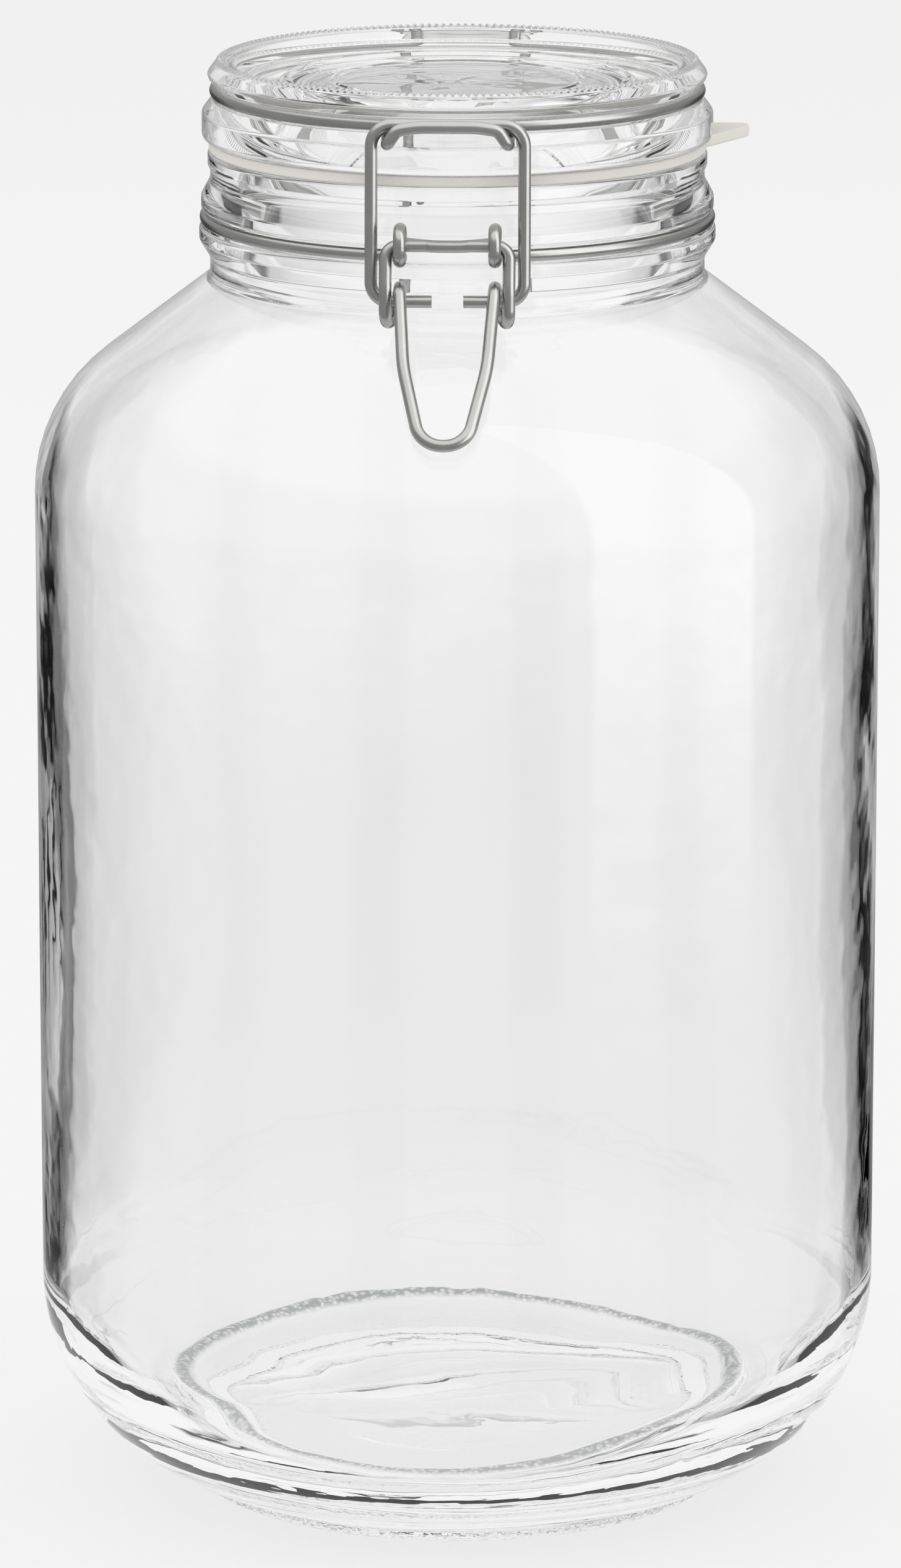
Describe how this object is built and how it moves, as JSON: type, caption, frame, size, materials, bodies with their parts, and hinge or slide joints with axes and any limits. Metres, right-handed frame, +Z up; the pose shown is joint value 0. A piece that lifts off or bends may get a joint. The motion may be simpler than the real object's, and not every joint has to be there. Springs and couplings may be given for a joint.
{
  "type": "clip_top_jar",
  "caption": "Round clear-glass storage jar with a dished glass lid, a rubber sealing ring and a wire clip-top catch that clamps the lid shut",
  "frame": {"origin": "on the jar's axis, in the plane it stands on", "axes": "+Z up along the jar's axis, -Y to the front where the catch is, +X to the side of the pull tab"},
  "size_m": [0.165, 0.165, 0.2835],
  "materials": {
    "clear_glass": "moulded, glossy",
    "steel_wire": "drawn",
    "seal_rubber": "moulded, matte"
  },
  "bodies": {
    "jar": {"jar_glass": "clear_glass", "neck_wire": "steel_wire"},
    "lid": {"lid_glass": "clear_glass", "lid_wire": "steel_wire", "sealing_ring": "seal_rubber"},
    "lever": {"lever_wire": "steel_wire"},
    "bail": {"bail_wire": "steel_wire"}
  },
  "joints": [
    {"name": "lid_hinge", "type": "hinge", "parent": "jar", "child": "lid", "pos_m": [0, 0.0527, 0.2773], "axis": [-1, 0, 0], "range_deg": [0, 110]},
    {"name": "lever_hinge", "type": "hinge", "parent": "jar", "child": "lever", "pos_m": [0, -0.0539, 0.25565], "axis": [-1, 0, 0], "range_deg": [0, 70]},
    {"name": "bail_hinge", "type": "hinge", "parent": "lever", "child": "bail", "pos_m": [0, -0.0536, 0.24495], "axis": [1, 0, 0], "range_deg": [0, 49]}
  ],
  "couplings": [
    {"joint": "bail_hinge", "follows": "lever_hinge", "ratio": 0.7}
  ]
}
